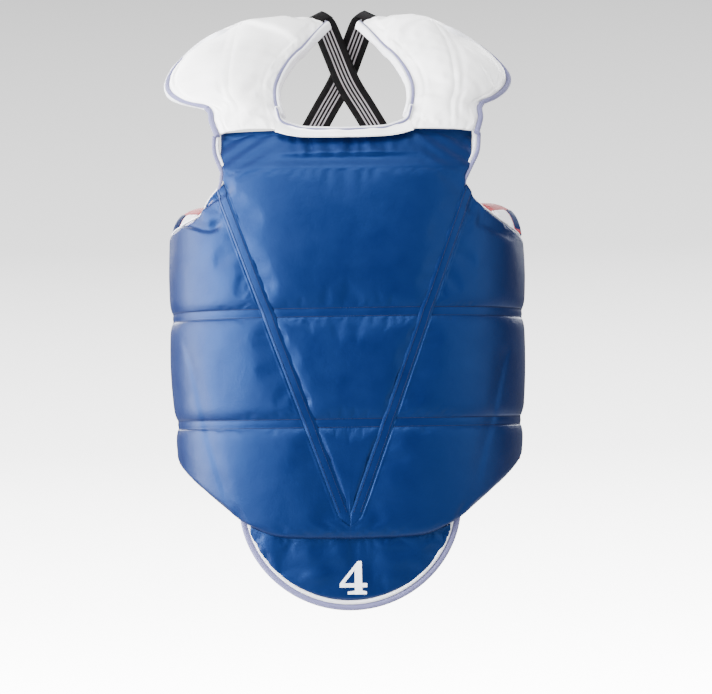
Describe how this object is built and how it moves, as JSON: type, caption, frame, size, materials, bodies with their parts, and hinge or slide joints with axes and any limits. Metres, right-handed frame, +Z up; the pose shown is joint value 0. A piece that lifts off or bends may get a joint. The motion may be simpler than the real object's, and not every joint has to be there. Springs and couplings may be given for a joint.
{
  "type": "chest protector",
  "caption": "Reversible padded sparring chest protector with shoulder pads and caps, groin flap, wrap-round wings and crossed elastic back straps.",
  "frame": {"origin": "middle of the wearer's trunk, level with the seam that joins the groin flap to the chest pad", "axes": "+Z up along the trunk, -Y out of the chest, -X to the left side as seen from the front"},
  "size_m": [0.4132, 0.289, 0.6815],
  "materials": {
    "blue_cover": "semi-gloss coated fabric with a fine grain",
    "red_cover": "semi-gloss coated fabric with a fine grain",
    "white_cover": "satin coated fabric with a fine grain",
    "foam": "matt closed-cell foam",
    "piping": "woven piping",
    "white_binding": "woven tape",
    "red_binding": "woven tape",
    "elastic": "woven elastic with pale warp lines",
    "loop": "brushed loop pile",
    "hook_tab": "stitched webbing tab with hook backing"
  },
  "bodies": {
    "chest": {"chest_cover_centre": "blue_cover", "chest_cover_left": "blue_cover", "chest_cover_right": "blue_cover", "chest_reverse_cover": "red_cover", "foam_centre_lower": "foam", "foam_centre_middle": "foam", "foam_centre_upper": "foam", "foam_side_lower_left": "foam", "foam_side_lower_right": "foam", "foam_side_middle_left": "foam", "foam_side_middle_right": "foam", "foam_side_upper_left": "foam", "foam_side_upper_right": "foam", "neckband": "white_cover", "armhole_piping_left": "piping", "armhole_piping_right": "piping"},
    "groin_flap": {"flap_cover": "blue_cover", "flap_foam": "foam", "flap_reverse_cover": "red_cover", "flap_binding": "white_binding"},
    "wing_left": {"wing_cover_left": "blue_cover", "wing_foam_lower_left": "foam", "wing_foam_middle_left": "foam", "wing_foam_upper_left": "foam", "wing_reverse_cover_left": "red_cover", "wing_binding_left": "red_binding", "wing_loop_patch_left": "loop", "wing_reverse_loop_patch_left": "loop"},
    "shoulder_left": {"shoulder_cover_left": "white_cover", "shoulder_foam_left": "foam", "shoulder_reverse_cover_left": "white_cover", "neck_piping_left": "piping", "strap_anchor_left": "elastic"},
    "cap_left": {"cap_cover_left": "white_cover", "cap_foam_left": "foam", "cap_reverse_cover_left": "white_cover", "cap_piping_left": "piping"},
    "strap_left": {"strap_left": "elastic"},
    "hook_tab_left": {"hook_tab_left": "hook_tab"},
    "wing_right": {"wing_cover_right": "blue_cover", "wing_foam_lower_right": "foam", "wing_foam_middle_right": "foam", "wing_foam_upper_right": "foam", "wing_reverse_cover_right": "red_cover", "wing_binding_right": "red_binding", "wing_loop_patch_right": "loop", "wing_reverse_loop_patch_right": "loop"},
    "shoulder_right": {"shoulder_cover_right": "white_cover", "shoulder_foam_right": "foam", "shoulder_reverse_cover_right": "white_cover", "neck_piping_right": "piping", "strap_anchor_right": "elastic"},
    "cap_right": {"cap_cover_right": "white_cover", "cap_foam_right": "foam", "cap_reverse_cover_right": "white_cover", "cap_piping_right": "piping"},
    "strap_right": {"strap_right": "elastic"},
    "hook_tab_right": {"hook_tab_right": "hook_tab"}
  },
  "joints": [
    {"name": "groin_flap_fold", "type": "hinge", "parent": "chest", "child": "groin_flap", "pos_m": [0, -0.124, 0.0015], "axis": [-1, 0, 0], "range_deg": [-20, 70]},
    {"name": "wing_left_opening", "type": "hinge", "parent": "chest", "child": "wing_left", "pos_m": [-0.20051, 0.00875, 0.24], "axis": [0, 0, 1], "range_deg": [0, 70]},
    {"name": "wing_right_opening", "type": "hinge", "parent": "chest", "child": "wing_right", "pos_m": [0.20051, 0.00875, 0.24], "axis": [0, 0, -1], "range_deg": [0, 70]},
    {"name": "shoulder_left_lift", "type": "hinge", "parent": "chest", "child": "shoulder_left", "pos_m": [-0.105, -0.1185, 0.455], "axis": [1, 0, 0], "range_deg": [0, 30]},
    {"name": "shoulder_right_lift", "type": "hinge", "parent": "chest", "child": "shoulder_right", "pos_m": [0.105, -0.1185, 0.455], "axis": [1, 0, 0], "range_deg": [0, 30]},
    {"name": "cap_left_lift", "type": "hinge", "parent": "shoulder_left", "child": "cap_left", "pos_m": [-0.1505, -0.082, 0.485], "axis": [0.2158, 0.5896, 0.7784], "range_deg": [0, 45]},
    {"name": "cap_right_lift", "type": "hinge", "parent": "shoulder_right", "child": "cap_right", "pos_m": [0.1505, -0.082, 0.485], "axis": [0.2158, -0.5896, -0.7784], "range_deg": [0, 45]},
    {"name": "strap_left_lift", "type": "hinge", "parent": "shoulder_left", "child": "strap_left", "pos_m": [-0.0225, 0.066, 0.598], "axis": [1, 0, 0], "range_deg": [0, 63]},
    {"name": "strap_right_lift", "type": "hinge", "parent": "shoulder_right", "child": "strap_right", "pos_m": [0.0225, 0.066, 0.598], "axis": [1, 0, 0], "range_deg": [0, 70]},
    {"name": "hook_tab_left_peel", "type": "hinge", "parent": "strap_left", "child": "hook_tab_left", "pos_m": [0.1384, 0.12816, 0.3208], "axis": [0.7836, -0.3915, 0.4824], "range_deg": [0, 90]},
    {"name": "hook_tab_right_peel", "type": "hinge", "parent": "strap_right", "child": "hook_tab_right", "pos_m": [-0.1384, 0.12816, 0.3208], "axis": [0.7836, 0.3915, -0.4824], "range_deg": [0, 90]}
  ],
  "couplings": [
    {"joint": "wing_right_opening", "follows": "wing_left_opening", "ratio": 1},
    {"joint": "strap_left_lift", "follows": "wing_left_opening", "ratio": 0.9},
    {"joint": "strap_right_lift", "follows": "wing_left_opening", "ratio": 1},
    {"joint": "shoulder_right_lift", "follows": "shoulder_left_lift", "ratio": 1}
  ]
}
